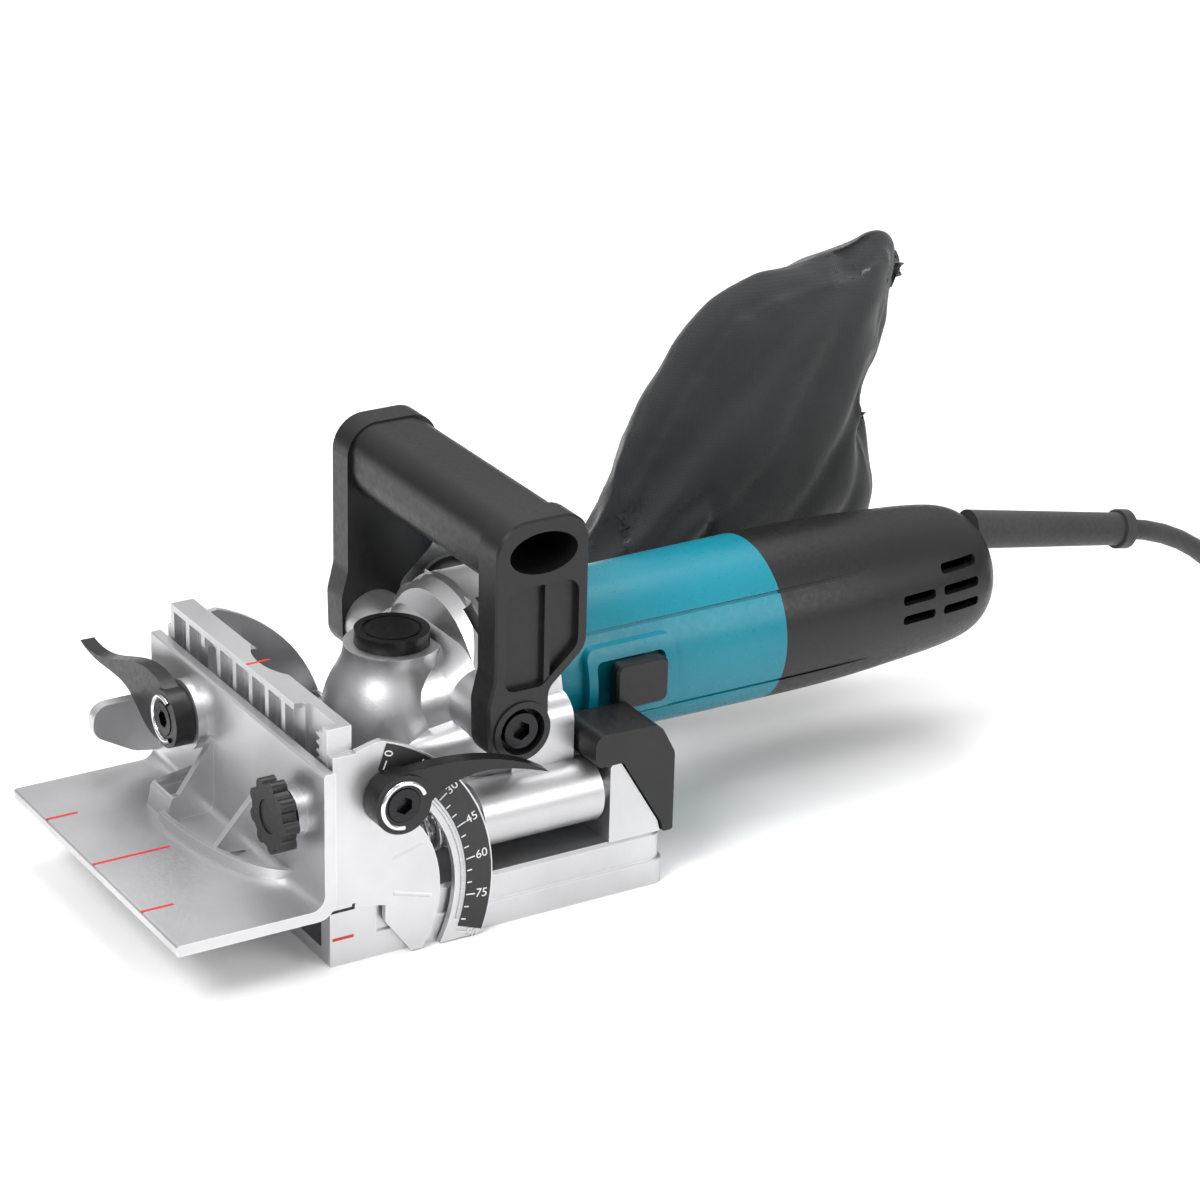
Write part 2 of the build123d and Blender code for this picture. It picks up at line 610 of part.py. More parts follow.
save("gear_housing", gear_housing())
save("spindle_bearings", ring_z(0, 0, 24.0, 32.0, 13.0, 6.02), ring_z(0, 0, 38.5, 46.5, 13.0, 6.02),
     ring_z(0, 0, 72.0, 80.0, 8.0, 5.02))


def front_handle():
    x0, x1 = HANDLE_X
    y0, y1 = HANDLE_Y
    top = GRIP_Z[1] + 0.6
    outline = [(y0, 92), (y0, top), (y1, top), (y1, 97), (28.5, 84), (28.5, BOLT_Z - 11), (5.5, BOLT_Z - 11), (5, 82)]
    arm = rounded_x(outline, x0, x1, [8, 12, 10, 9, 6, 9, 9, 8])
    arm = chamfer(arm.faces().sort_by(Axis.X)[-1].edges(), 0.8)
    panel = rounded_x([(11.2, 86), (11.2, 123), (39.4, 123), (39.4, 98.6), (25.6, 86)], x1 - 2.6, x1 + 1, [4, 5, 5, 6, 4])
    arm -= panel - bx(x1 - 4, x1 - 0.4, 26.4, 28.6, 84, 125)
    arm += cx(BOLT_Y, BOLT_Z, x0, x1 + 0.7, 10.8)
    ends = [(GRIP_Y[0], GRIP_Z[0]), (GRIP_Y[1], GRIP_Z[0]), (GRIP_Y[1], GRIP_Z[1]), (GRIP_Y[0], GRIP_Z[1])]
    body = arm + mirror_x(arm) + rounded_x(ends, -x0 - 1, x0 + 1, [13, 13, 11, 10])
    for s in (-1, 1):
        hole = Pos(s * 60, sum(GRIP_Y) / 2, 134.4) * Rot(0, 90, 0)
        body -= hole * extrude(Ellipse(7.4, 13.0), amount=26, both=True)
        body -= cx(BOLT_Y, BOLT_Z, s * 40, s * 70, 3.4)
        body -= cx(BOLT_Y, BOLT_Z, s * 53.4, s * 70, 8.5)
    return body


save("front_handle", front_handle())
bolt = hex_socket_bolt(20, 2.95, 6.4, 5.0)
save("handle_bolts", pair(Pos(58.4, BOLT_Y, BOLT_Z) * Rot(0, 90, 0) * bolt))


# === blade and spindle ========================================================================
def spindle():
    body = cz(0, 0, 5.6, 48, 5.98) + cz(0, 0, 48, 71.8, 5.4) + cz(0, 0, 71, 80.2, 5.0)
    return body + cz(0, 0, 13.5, 16, 8.0)


def bevel_tooth(r, h, teeth):
    """One straight tooth at the +X side: its section at the large end, shrunk towards the apex."""
    cone = sqrt(r * r + h * h)
    pitch = 2 * pi * r / teeth
    ends = []
    for k in (1.0, BEVEL_INNER):
        ring = [(d, t * pitch) for d, t in ((-BEVEL_DEPTH[1] - 0.3, 0.27), (-BEVEL_DEPTH[1] - 0.3, -0.27),
                                            (BEVEL_DEPTH[0], -0.10), (BEVEL_DEPTH[0], 0.10))]
        points = [Vector(k * (r + d * h / cone), k * t, k * (-h + d * r / cone)) for d, t in ring]
        ends.append(Wire.make_polygon(points, close=True))
    return Solid.make_loft(ends, ruled=True)


def bevel_gear(r, h, teeth, hub_r, bore, back, turn):
    """A straight bevel gear about +Z with its apex at the origin and its body below."""
    cone = sqrt(r * r + h * h)
    rr, hh = r - BEVEL_DEPTH[1] * h / cone, h + BEVEL_DEPTH[1] * r / cone
    body = turned_z([(bore, -BEVEL_INNER * hh), (BEVEL_INNER * rr, -BEVEL_INNER * hh), (rr, -hh),
                     (rr, -hh - back * 0.4), (hub_r, -hh - back), (bore, -hh - back)])
    for i in range(teeth):
        body += Rot(0, 0, turn + 360 * i / teeth) * bevel_tooth(r, h, teeth)
    return body


PINION_R = GEAR_R * PINION_TEETH / GEAR_TEETH
save("spindle", spindle())
save("bevel_gear", Pos(0, 0, AXIS_Z) * bevel_gear(GEAR_R, PINION_R, GEAR_TEETH, 11, 5.42, 5.0, 95))
save("bevel_pinion",
     Pos(0, 0, AXIS_Z) * Rot(90, 0, 0) * bevel_gear(PINION_R, GEAR_R, PINION_TEETH, 6.0, 3.0, 4.0, -90))


def blade():
    body = ring_z(0, 0, BLADE_Z - 1.3, BLADE_Z + 1.3, 46.0, ARBOR_R)
    tips = []
    for i in range(6):
        a = 60 * i
        seat = Rot(0, 0, a) * bx(40, 48.6, 1.6, 9.0, BLADE_Z - 1.3, BLADE_Z + 1.3)
        body += seat
        body -= Rot(0, 0, a) * (bx(40.5, 52, -4.5, 1.6, 0, 20) + cz(41.5, -1.5, 0, 20, 3.2))
        tips.append(Rot(0, 0, a) * bx(43.5, 50, 0.0, 1.6, BLADE_Z - 1.95, BLADE_Z + 1.95))
    body &= cz(0, 0, 0, 20, 49.3)
    tips = [t & cz(0, 0, 0, 20, BLADE_R) for t in tips]
    return body, tips


disc, tips = blade()
save("blade", disc)
save("carbide_tips", tips)
save("inner_flange",
     ring_z(0, 0, BLADE_Z + 1.3, BLADE_Z + 3.5, 15.0, 6.0) + ring_z(0, 0, BLADE_Z - 1.2, BLADE_Z + 1.5, ARBOR_R, 6.0))
save("lock_nut", ring_z(0, 0, 5.4, BLADE_Z - 1.3, 14.5, 6.0) - cz(9.5, 0, 5, 7, 1.8) - cz(-9.5, 0, 5, 7, 1.8))


def shaft_lock_button():
    body = cz(0, 0, BUTTON_Z[0], BUTTON_Z[1], BUTTON_R) + cz(-PIN_AT, 0, 64.8, BUTTON_Z[0] + 0.5, 1.8)
    return body - ring_z(0, 0, BUTTON_Z[1] - 0.8, BUTTON_Z[1] + 1, 10.5, 9.5)


save("shaft_lock_button", shaft_lock_button())
save("button_spring", Pos(0, 0, 81.2) * spring(7.3, 0.7, 4, BUTTON_Z[0] - 82.0))


# === motor ====================================================================================
def motor_grooves(y0, y1, depth, radius):
    """Long shallow lines along the motor's body, at the same angles on each side."""
    turn = Pos(0, 0, AXIS_Z)
    return [turn * Rot(0, -a, 0) * bx(radius - depth, 50, y0, y1, -0.7, 0.7) for a in (-28, 38, 142, 208)]


def motor_housing():
    y0, y1 = MOTOR_Y
    body = turned_y([(0, y0), (MOTOR_R - 1.4, y0), (MOTOR_R, y0 + 2), (MOTOR_R + 0.6, y1), (0, y1)], AXIS_Z)
    for cut in motor_grooves(56, 146, 0.7, MOTOR_R + 0.3):
        body -= cut
    raised = rounded_x([(60, 53), (96, 53), (96, 80), (60, 80)], 26, 36, 4)
    body += raised & cy(0, AXIS_Z, 58, 98, 33.5)
    body -= rounded_x([(63.5, 57.5), (91.5, 57.5), (91.5, 75.5), (63.5, 75.5)], 27.4, 40, 2.5)
    body -= cy(0, AXIS_Z, y0 - 1, y1 + 1, 26.8)
    return body


def rear_cover():
    y0, y1 = MOTOR_Y[1], COVER_END
    outer = [(30.6, y0), (30.6, y0 + 16), (30.0, y0 + 38), (28.4, y0 + 62), (26.2, y0 + 84), (22.4, y1 - 8),
             (15, y1 - 1.6), (7, y1)]
    inner = [(0, y0 - 1), (27.4, y0 - 1), (27.2, y0 + 30), (25.4, y0 + 62), (23.4, y0 + 84), (12, y1 - 8), (0, y1 - 8)]
    body = spun_y(outer, AXIS_Z) - turned_y(inner, AXIS_Z)
    for cut in motor_grooves(y0 - 2, y0 + 40, 0.7, 30.6):
        body -= cut
    for s in (-1, 1):
        for z in (78.0, 70.5, 63.0):
            for ya, yb in ((196, 211), (215, 232)):
                body -= rounded_x([(ya, z - 1.8), (yb, z - 1.8), (yb, z + 1.8), (ya, z + 1.8)], s * 15, s * 40, 1.4)
    seat = ring_y(0, AXIS_Z, 190, 210, 30, 13.5) - bx(-3, 3, 190, 210, 0, 130)
    body += ring_y(0, AXIS_Z, 195, 206, 26, 11.0) - seat
    return body - between(GUARD_START, GUARD_END, 7.4, 6.2)


save("motor_housing", motor_housing())
save("rear_cover", rear_cover())
knob = rounded_x([(69.0, 58.0), (90.0, 58.0), (90.0, 75.0), (69.0, 75.0)], 32.2, 37.2, 3)
save("switch_slide", chamfer(knob.faces().sort_by(Axis.X)[-1].edges(), 0.8) + bx(28.0, 32.6, 74, 84, 63, 70))
save("armature_shaft", cy(0, AXIS_Z, 9.2, 206, 2.98) + cy(0, AXIS_Z, 46, 190, 4.5))
core = cy(0, AXIS_Z, 84, 128, 17.5)
for i in range(12):
    core -= Pos(0, 106, AXIS_Z) * Rot(0, 30 * i, 0) * bx(15.5, 19, -23, 23, -1.2, 1.2)
save("armature_core", core - cy(0, AXIS_Z, 80, 130, 4.5))
save("armature_windings", ring_y(0, AXIS_Z, 76, 83.9, 14.5, 4.5), ring_y(0, AXIS_Z, 128.1, 136, 14.5, 4.5))
save("commutator", ring_y(0, AXIS_Z, 140, 158, 11, 4.5))


def fan():
    hub = ring_y(0, AXIS_Z, 50, 62, 8, 4.5)
    disc = ring_y(0, AXIS_Z, 50, 51.6, 25.5, 7)
    body = hub + disc
    for i in range(12):
        body += Pos(0, 56, AXIS_Z) * Rot(0, 30 * i, 0) * bx(7.5, 25.0, -4.6, 6, -0.8, 0.8)
    return body


save("fan", fan())
save("motor_bearings", ring_y(0, AXIS_Z, 35, 44, 14.0, 3.0), ring_y(0, AXIS_Z, 196, 205, 11.0, 3.0))
stator = ring_y(0, AXIS_Z, 82, 130, 26.8, 18.5)
stator -= bx(-30, 30, 81, 131, AXIS_Z + 19.5, AXIS_Z + 22.5) - bx(-12, 12, 80, 132, 60, 100)
save("field_core", stator)
save("field_windings", [ring_y(0, AXIS_Z, a, b, 25.5, 19.5) for a, b in ((74, 81.9), (130.1, 138))])
holder = bx(14, 27.4, 144.1, 154.4, AXIS_Z - 4.6, AXIS_Z + 4.6) - bx(12, 28, 145, 153, AXIS_Z - 3, AXIS_Z + 3)
save("brush_holders", pair(holder & cy(0, AXIS_Z, 140, 160, 27.1)))
save("carbon_brushes", pair(bx(11.1, 22, 145.2, 152.8, AXIS_Z - 2.8, AXIS_Z + 2.8) - cy(0, AXIS_Z, 144, 154, 11.08)))
save("switch_body", bx(-9, 9, 162, 190, AXIS_Z - 24, AXIS_Z - 8))


# === cord =====================================================================================
def cord_guard():
    start, end = Vector(*GUARD_START), Vector(*GUARD_END)
    return between(start, end, 7.4, 6.2) + between(end - (end - start) * 0.06, end, 7.6)


save("cord_guard", cord_guard())

CORD_R = CORD_D / 2
ROUTE = [GUARD_END, (0, 345, 60.23), (-3, 385, 26), (-13, 418, CORD_R), (-13, 447, CORD_R)]
COIL_AT = (27.4, 486.0)
COIL_LIFT = 0.8
COIL_PITCH = CORD_D + 0.1
COIL_MEAN_R = COIL_AT[0] - ROUTE[-1][0]


def cord_tube():
    """Straight runs joined by tangent arcs, as large as the runs allow."""
    points = [Vector(*p) for p in ROUTE]
    radii = []
    for a, b, c in zip(points, points[1:], points[2:]):
        turn = radians((b - a).get_angle(c - b))
        radii.append(0.45 * min((b - a).length, (c - b).length) / tan(turn / 2))
    path = FilletPolyline(*points, radius=radii)
    tube = sweep(Plane(origin=points[0], z_dir=path % 0) * Circle(CORD_R), path=path)
    length = path.length
    print("cord radii mm", [round(r, 1) for r in radii], "length", round(length, 1))
    print("cord volume over section x length", round(tube.volume / (pi * CORD_R ** 2 * length), 4))
    return tube


def cord_coil():
    """Outer shape of the wound coil: two columns of four turns inside one of two, and its two ends."""
    x, y = COIL_AT
    low, r = COIL_LIFT, COIL_MEAN_R
    body = ring_z(x, y, low, low + 4 * COIL_PITCH, r + COIL_PITCH / 2, r - 1.5 * COIL_PITCH)
    body += ring_z(x, y, low, low + 2 * COIL_PITCH, r + 1.5 * COIL_PITCH, r)
    body += cy(ROUTE[-1][0], CORD_R, ROUTE[-1][1], ROUTE[-1][1] + 14, CORD_R)
    return body + cy(PLUG_END[0], PLUG_END[2], PLUG_END[1], y, CORD_R)


PLUG_END = (COIL_AT[0] + COIL_MEAN_R + COIL_PITCH, COIL_AT[1] - 46, 7.5)


def plug():
    """Two-pin plug that lies flat beside the coil, pins towards the tool."""
    x, y, z = PLUG_END
    relief = turned_y([(0, y), (5.2, y), (6.4, y - 14), (0, y - 14)], 0)
    relief = Pos(x, 0, z) * relief
    body = poly_z([(x - 7, y - 13), (x + 7, y - 13), (x + 16, y - 34), (x + 17, y - 46), (x - 17, y - 46),
                   (x - 16, y - 34)], z - 7.5, z + 7.5)
    return body + relief


def plug_pins():
    x, y, z = PLUG_END
    return [cy(x + s * 9.5, z, y - 65, y - 44, 2.3) for s in (-1, 1)]


def cord_tie():
    """Strap round the coil's section on the side away from the tool."""
    x, y = COIL_AT
    low, high = 0.1, COIL_LIFT + 4 * COIL_PITCH + 0.8
    r_in, r_out = COIL_MEAN_R - 1.5 * COIL_PITCH, COIL_MEAN_R + 0.5 * COIL_PITCH
    step = COIL_LIFT + 2 * COIL_PITCH
    outline = [(y + r_in - 1, low), (y + r_out + COIL_PITCH + 1, low), (y + r_out + COIL_PITCH + 1, step + 0.8),
               (y + r_out + 1.2, step + 0.8), (y + r_out + 1.2, high), (y + r_in - 1, high)]
    return poly_x(outline, x - 8, x + 8) - COIL


save("cord_tube", cord_tube())
COIL = cord_coil()
save("cord_coil", COIL)
pins = plug_pins()
save("plug", plug() - pins[0] - pins[1])
save("plug_pins", pins)
save("cord_tie", cord_tie())
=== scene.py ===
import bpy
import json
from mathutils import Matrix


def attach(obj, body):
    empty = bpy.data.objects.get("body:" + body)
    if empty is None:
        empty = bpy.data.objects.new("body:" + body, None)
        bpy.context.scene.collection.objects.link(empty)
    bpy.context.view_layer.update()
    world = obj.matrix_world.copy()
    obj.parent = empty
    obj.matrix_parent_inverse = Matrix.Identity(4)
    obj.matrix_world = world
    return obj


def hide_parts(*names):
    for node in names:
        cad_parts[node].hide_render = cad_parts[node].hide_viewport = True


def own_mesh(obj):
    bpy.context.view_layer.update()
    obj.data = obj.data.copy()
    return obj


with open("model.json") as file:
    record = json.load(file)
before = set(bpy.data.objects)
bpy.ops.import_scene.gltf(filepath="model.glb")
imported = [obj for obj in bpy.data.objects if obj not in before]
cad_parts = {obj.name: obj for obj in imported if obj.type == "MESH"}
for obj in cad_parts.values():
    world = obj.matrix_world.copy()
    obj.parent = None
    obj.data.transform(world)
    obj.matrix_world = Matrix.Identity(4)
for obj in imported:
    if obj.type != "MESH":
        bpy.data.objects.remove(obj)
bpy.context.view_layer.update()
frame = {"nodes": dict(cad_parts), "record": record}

import json
import math

import bmesh
import bpy
from mathutils import Matrix, Vector, noise

MM = 0.001
NODES = frame["nodes"]


# --- materials --------------------------------------------------------------------------------
class Shader:
    """A material's node tree, with short calls for the nodes that the finishes here use."""

    def __init__(self, name):
        self.material = bpy.data.materials.new(name)
        self.material.use_nodes = True
        self.tree = self.material.node_tree
        self.surface = self.tree.nodes["Principled BSDF"]
        self.where = self.node("ShaderNodeTexCoord").outputs["Object"]

    def node(self, kind, **values):
        made = self.tree.nodes.new(kind)
        for key, value in values.items():
            setattr(made, key, value)
        return made

    def link(self, source, target):
        self.tree.links.new(source, target)

    def scaled(self, x, y, z):
        """Object coordinates stretched by a factor on each axis."""
        mapping = self.node("ShaderNodeMapping")
        mapping.inputs["Scale"].default_value = (x, y, z)
        self.link(self.where, mapping.inputs["Vector"])
        return mapping.outputs["Vector"]

    def noise(self, scale, detail=4.0, vector=None):
        made = self.node("ShaderNodeTexNoise")
        made.inputs["Scale"].default_value = scale
        made.inputs["Detail"].default_value = detail
        self.link(vector or self.where, made.inputs["Vector"])
        return made.outputs["Fac"]

    def ramp(self, source, low, high, stops=(0.35, 0.65)):
        """Maps 0..1 onto two colours, or onto two grey values given as numbers."""
        made = self.node("ShaderNodeValToRGB")
        for element, place, value in zip(made.color_ramp.elements, stops, (low, high)):
            element.position = place
            element.color = (*value, 1) if isinstance(value, tuple) else (value, value, value, 1)
        self.link(source, made.inputs["Fac"])
        return made.outputs["Color"]

    def bump(self, height, strength, distance):
        made = self.node("ShaderNodeBump")
        made.inputs["Strength"].default_value = strength
        made.inputs["Distance"].default_value = distance
        self.link(height, made.inputs["Height"])
        self.link(made.outputs["Normal"], self.surface.inputs["Normal"])

    def edge_wear(self, base, worn, amount=0.6, radius=0.0006):
        """Mixes a worn colour in along sharp edges, found from a bevelled normal."""
        bevel = self.node("ShaderNodeBevel", samples=4)
        bevel.inputs["Radius"].default_value = radius
        geometry = self.node("ShaderNodeNewGeometry")
        dot = self.node("ShaderNodeVectorMath", operation="DOT_PRODUCT")
        self.link(bevel.outputs["Normal"], dot.inputs[0])
        self.link(geometry.outputs["Normal"], dot.inputs[1])
        edge = self.ramp(dot.outputs["Value"], amount, 0.0, (0.86, 0.995))
        mix = self.node("ShaderNodeMix", data_type="RGBA")
        self.link(edge, mix.inputs["Factor"])
        self.link(base, mix.inputs[6])
        mix.inputs[7].default_value = (*worn, 1)
        return mix.outputs[2]

    def put(self, name, value):
        slot = self.surface.inputs[name]
        if hasattr(value, "links"):
            self.link(value, slot)
        else:
            slot.default_value = (*value, 1) if isinstance(value, tuple) and len(value) == 3 else value


def grained_metal(name, dark, light, rough, grain=1400.0, bump=0.10, worn=None):
    """Cast or blasted metal: a fine grain, faint clouds and brighter edges."""
    s = Shader(name)
    clouds = s.ramp(s.noise(24.0, 3.0), dark, light, (0.3, 0.7))
    s.put("Base Color", s.edge_wear(clouds, worn or light, 0.7))
    s.put("Metallic", 0.92)
    s.put("Roughness", s.ramp(s.noise(900.0, 2.0), rough - 0.03, rough + 0.04))
    s.bump(s.noise(grain, 2.0), bump, 0.0003)
    return s.material


def turned_metal(name, colour, rough):
    """Ground or turned steel: fine lines along the axis of turning."""
    s = Shader(name)
    lines = s.noise(60.0, 6.0, s.scaled(40, 1.5, 40))
    s.put("Base Color", s.ramp(lines, tuple(0.8 * c for c in colour), colour))
    s.put("Metallic", 1.0)
    s.put("Roughness", s.ramp(lines, rough - 0.07, rough + 0.09))
    s.bump(lines, 0.04, 0.0001)
    return s.material


def moulded_plastic(name, colour, rough, grain=2600.0, bump=0.18):
    """Spark-textured moulded plastic with slightly polished, paler edges."""
    s = Shader(name)
    light = tuple(min(1.0, 1.16 * c + 0.003) for c in colour)
    clouds = s.ramp(s.noise(18.0, 2.0), colour, light, (0.3, 0.75))
    worn = tuple(min(1.0, 1.5 * c + 0.01) for c in colour)
    s.put("Base Color", s.edge_wear(clouds, worn, 0.5))
    s.put("Roughness", s.ramp(s.noise(500.0), rough - 0.05, rough + 0.07))
    s.put("Specular IOR Level", 0.38)
    s.bump(s.noise(grain, 1.0), bump, 0.00012)
    return s.material


def rubber(name, colour):
    s = Shader(name)
    s.put("Base Color", s.ramp(s.noise(40.0), colour, tuple(1.5 * c for c in colour)))
    s.put("Roughness", s.ramp(s.noise(700.0), 0.52, 0.68))
    s.put("Sheen Weight", 0.15)
    s.bump(s.noise(1800.0, 2.0), 0.15, 0.0001)
    return s.material


def woven_cloth(name, colour, thread=0.0011):
    """Plain weave: two sets of threads, crossed, with a soft sheen and faint wear."""
    s = Shader(name)
    waves = []
    for axis in ("Y", "Z"):
        wave = s.node("ShaderNodeTexWave", wave_type="BANDS", bands_direction=axis)
        wave.inputs["Scale"].default_value = 0.314 / thread
        wave.inputs["Distortion"].default_value = 0.4
        wave.inputs["Detail Scale"].default_value = 3.0
        s.link(s.where, wave.inputs["Vector"])
        waves.append(wave.outputs["Fac"])
    weave = s.node("ShaderNodeMath", operation="MULTIPLY")
    s.link(waves[0], weave.inputs[0])
    s.link(waves[1], weave.inputs[1])
    patches = s.ramp(s.noise(14.0, 5.0), colour, tuple(1.7 * c for c in colour), (0.35, 0.75))
    shade = s.node("ShaderNodeMix", data_type="RGBA", blend_type="MULTIPLY")
    shade.inputs["Factor"].default_value = 0.45
    s.link(patches, shade.inputs[6])
    s.link(s.ramp(weave.outputs[0], 0.5, 1.0, (0.1, 0.8)), shade.inputs[7])
    s.put("Base Color", shade.outputs[2])
    s.put("Roughness", 0.86)
    s.put("Sheen Weight", 0.35)
    s.put("Sheen Roughness", 0.45)
    s.bump(weave.outputs[0], 0.35, 0.0002)
    return s.material


def flat_print(name, colour, rough=0.45):
    s = Shader(name)
    s.put("Base Color", s.ramp(s.noise(220.0), tuple(0.85 * c for c in colour), colour))
    s.put("Roughness", s.ramp(s.noise(900.0), rough - 0.06, rough + 0.08))
    s.bump(s.noise(2400.0), 0.06, 0.0001)
    return s.material


FINISH = {
    "cast_aluminium": grained_metal("cast_aluminium", (0.50, 0.50, 0.51), (0.62, 0.62, 0.63), 0.38,
                                    worn=(0.82, 0.82, 0.83)),
    "steel": turned_metal("steel", (0.58, 0.58, 0.60), 0.30),
    "hardened_steel": turned_metal("hardened_steel", (0.40, 0.41, 0.43), 0.34),
    "black_steel": turned_metal("black_steel", (0.035, 0.035, 0.038), 0.30),
    "chrome": turned_metal("chrome", (0.80, 0.80, 0.82), 0.12),
    "black_plastic": moulded_plastic("black_plastic", (0.0055, 0.0055, 0.006), 0.36),
    "teal_plastic": moulded_plastic("teal_plastic", (0.0, 0.165, 0.225), 0.32),
    "rubber": rubber("rubber", (0.010, 0.010, 0.011)),
    "white_print": flat_print("white_print", (0.75, 0.75, 0.75)),
    "bag_cloth": woven_cloth("bag_cloth", (0.012, 0.013, 0.014)),
    "copper": turned_metal("copper", (0.62, 0.27, 0.13), 0.35),
    "carbon": flat_print("carbon", (0.02, 0.02, 0.02), 0.7),
    "red_paint": flat_print("red_paint", (0.60, 0.02, 0.02), 0.4),
    "black_print": flat_print("black_print", (0.012, 0.012, 0.013), 0.42),
    "laminations": grained_metal("laminations", (0.10, 0.10, 0.11), (0.16, 0.16, 0.17), 0.5),
}


def finish(piece, slot):
    piece.data.materials.clear()
    piece.data.materials.append(FINISH[slot])


for row in frame["record"]["subparts"]:
    finish(NODES[row["node"]], row["material_slot"])


# --- pieces -----------------------------------------------------------------------------------
def mesh_of(made, name):
    """Turns a bmesh into a mesh of this name and frees it."""
    mesh = bpy.data.meshes.new(name)
    made.to_mesh(mesh)
    made.free()
    return mesh


def evaluated_mesh(piece):
    """A mesh of what the piece looks like with its modifiers, or its curve, worked out."""
    return bpy.data.meshes.new_from_object(piece.evaluated_get(bpy.context.evaluated_depsgraph_get()))


def piece_from(name, mesh, body, slot, parts=()):
    """Adds a mesh or curve as a piece that rides on a body and stands for CAD nodes."""
    made = bpy.data.objects.new(name, mesh)
    bpy.context.scene.collection.objects.link(made)
    finish(made, slot)
    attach(made, body)
    if parts:
        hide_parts(*parts)
    return made


# --- cord -------------------------------------------------------------------------------------
CORD_R = 3.9 * MM
ROUTE = [(0, 320, 65), (0, 345, 60.23), (-3, 385, 26), (-13, 418, 3.9), (-13, 447, 3.9)]
COIL_AT = (27.4, 486.0)
COIL_LIFT, COIL_PITCH, COIL_MEAN_R = 0.8, 7.9, 40.4
# column (0 inner, 1 middle, 2 outer) and layer of each turn, in the order they are wound
WINDING = [(1, 0), (0, 0), (0, 1), (0, 2), (0, 3), (1, 3), (1, 2), (1, 1), (2, 1), (2, 0)]
STEPS = 24  # control points in each turn


def coil_points():
    """Control points of the wound turns: clockwise from the left side, ending at the right side."""
    points = []
    for turn, (column, layer) in enumerate(WINDING):
        before = WINDING[max(turn - 1, 0)]
        last = turn == len(WINDING) - 1
        for step in range(STEPS // 2 if last else STEPS):
            share = min(step / 4.0, 1.0)
            share = share * share * (3 - 2 * share)
            col = before[0] + (column - before[0]) * share
            lay = before[1] + (layer - before[1]) * share
            angle = math.pi - 2 * math.pi * (step + 0.5) / STEPS
            r = COIL_MEAN_R + (col - 1) * COIL_PITCH
            points.append((COIL_AT[0] + r * math.cos(angle), COIL_AT[1] + r * math.sin(angle),
                           COIL_LIFT + 3.95 + lay * COIL_PITCH))
    return points


def cord():
    curve = bpy.data.curves.new("power_cord", "CURVE")
    curve.dimensions = "3D"
    curve.bevel_depth = CORD_R
    curve.bevel_resolution = 5
    curve.resolution_u = 5
    curve.use_fill_caps = True
    x = COIL_AT[0] + COIL_MEAN_R + COIL_PITCH
    to_plug = [(x, COIL_AT[1] - 8, 5.0), (x, COIL_AT[1] - 28, 7.5), (x, COIL_AT[1] - 46, 7.5)]
    points = ROUTE + coil_points()[1:] + to_plug
    spline = curve.splines.new("NURBS")
    spline.points.add(len(points) - 1)
    for point, place in zip(spline.points, points):
        point.co = (*(MM * c for c in place), 1)
    spline.order_u = 3
    spline.use_endpoint_u = True
    made = piece_from("power_cord", curve, "carriage", "rubber", ("cord_tube", "cord_coil"))


cord()


# --- dust bag ---------------------------------------------------------------------------------
# outline of the sack in (y, z)
BAG_EDGE = [(119, 69), (120, 93), (133, 115), (147, 136), (161, 153), (170, 163), (191, 171), (227, 176),
            (244, 182), (255, 178), (257, 165), (254, 146), (249, 130), (245, 113), (249, 98), (250, 69),
            (246, 54), (200, 44), (120, 40)]
BAG_MIDDLE_X = -67
NECK_END_Y = 106
# creases in the near side: a run of (y, z) points and how deep and wide each one is
CREASES = [([(131, 62), (146, 84), (160, 92), (164, 82), (158, 70)], 2.6, 3.4),
           ([(118, 66), (150, 108), (196, 150), (238, 174)], 1.8, 4.5),
           ([(150, 60), (186, 100), (214, 140), (228, 168)], 2.2, 6.0),
           ([(180, 52), (214, 92), (236, 122)], 2.0, 5.0),
           ([(222, 60), (236, 96), (243, 114)], 1.8, 4.0)]
BAG_CAP = 5.0 * MM
CLOTH_FRAMES = 20


def span_distance(point, run):
    """Distance in (y, z) from a point to a run of straight spans, in millimetres."""
    best = 1e9
    for a, b in zip(run, run[1:]):
        a, b = Vector(a), Vector(b)
        along = b - a
        share = max(0.0, min(1.0, (point - a).dot(along) / along.length_squared))
        best = min(best, (point - a - along * share).length)
    return best


def thin_edges(made):
    """Thins the sack towards its outline, where its two panels are sewn together."""
    middle = BAG_MIDDLE_X * MM
    for vertex in made.verts:
        y, z = vertex.co.y / MM, vertex.co.z / MM
        if y > NECK_END_Y:
            edge = span_distance(Vector((y, z)), BAG_EDGE + BAG_EDGE[:1])
            half = 12 if edge < 9 else 21
            thinned = 2.2 + 17 * (1 - math.exp(-edge / 20))
            vertex.co.x = middle + (vertex.co.x - middle) * thinned / half


def relax(made, rounds):
    """Rounds the steps of a blocky mesh by moving each point halfway to its neighbours' mean."""
    for _ in range(rounds):
        bmesh.ops.smooth_vert(made, verts=made.verts, factor=0.5,
                              use_axis_x=True, use_axis_y=True, use_axis_z=True)


